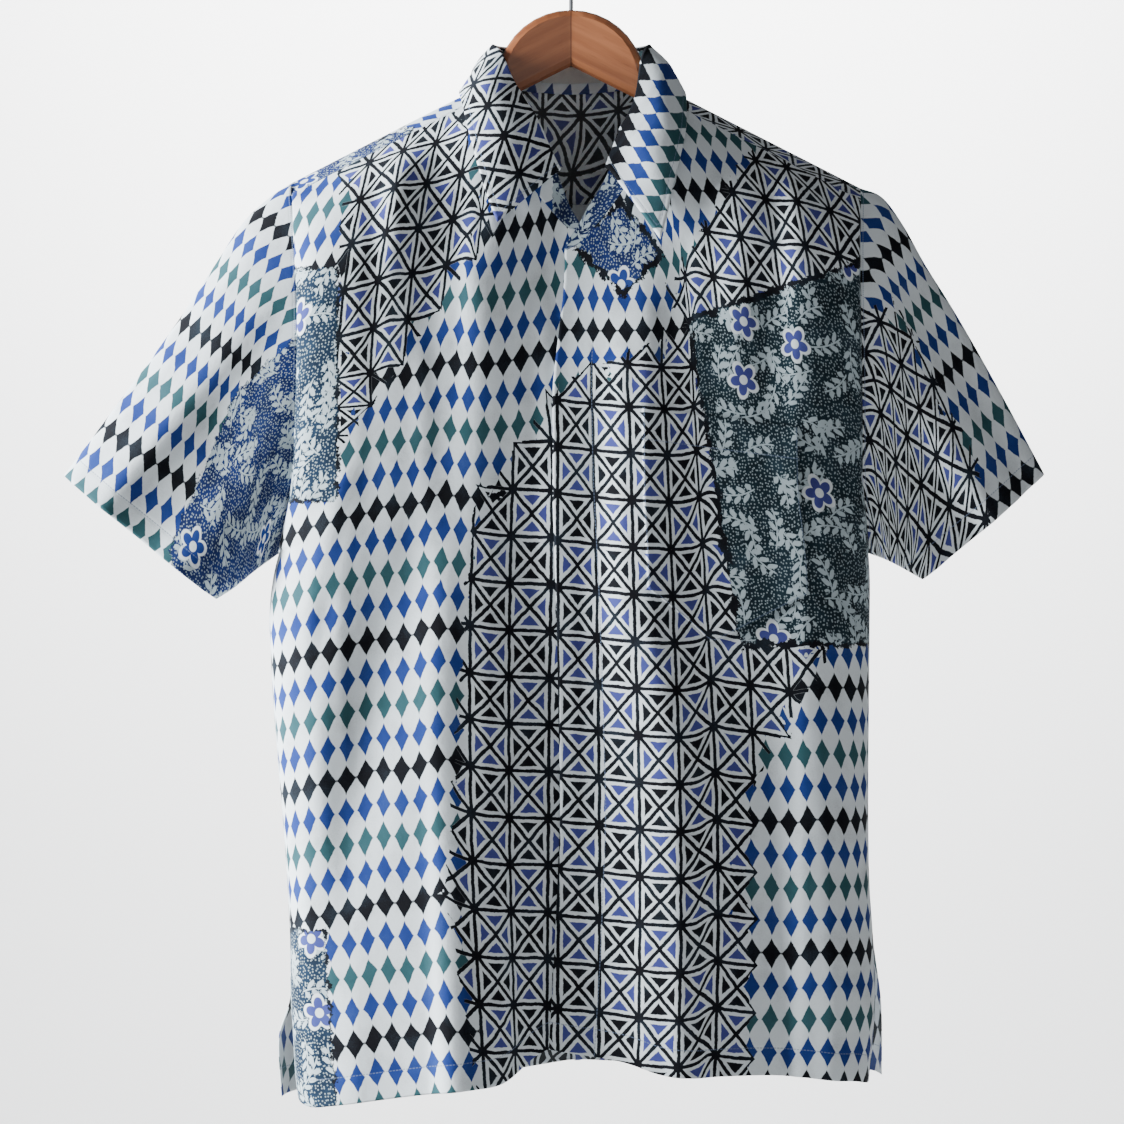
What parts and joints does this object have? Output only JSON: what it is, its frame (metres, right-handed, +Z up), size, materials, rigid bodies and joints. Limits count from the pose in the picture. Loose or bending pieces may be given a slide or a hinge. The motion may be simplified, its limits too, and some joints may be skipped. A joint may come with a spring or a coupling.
{
  "type": "printed short-sleeved shirt on a wooden hanger",
  "caption": "Short-sleeved open-collar shirt in a batik-like print, with chest pocket, fly front and side slits, hung on a wooden hanger with a wire hook.",
  "frame": {"origin": "inside top of the hook's bend, where the hanger hangs on a rail", "axes": "+Z up, -Y out of the shirt's front, +X towards the wearer's left"},
  "size_m": [0.752, 0.1265, 0.9032],
  "materials": {
    "printed_cloth": "thin woven cotton, printed; pale on the inside",
    "label_tape": "plain woven tape, bare",
    "hanger_wood": "stained and satin varnished",
    "hook_wire": "plain bent wire"
  },
  "bodies": {
    "root": {"yoke": "printed_cloth", "front_right": "printed_cloth", "front_left": "printed_cloth", "back": "printed_cloth", "sleeve_right": "printed_cloth", "sleeve_left": "printed_cloth", "collar_stand": "printed_cloth", "collar_leaf": "printed_cloth", "chest_pocket": "printed_cloth", "fly_strip": "printed_cloth", "neck_label": "label_tape", "hanger_wood": "hanger_wood", "hanger_hook": "hook_wire"}
  },
  "joints": []
}
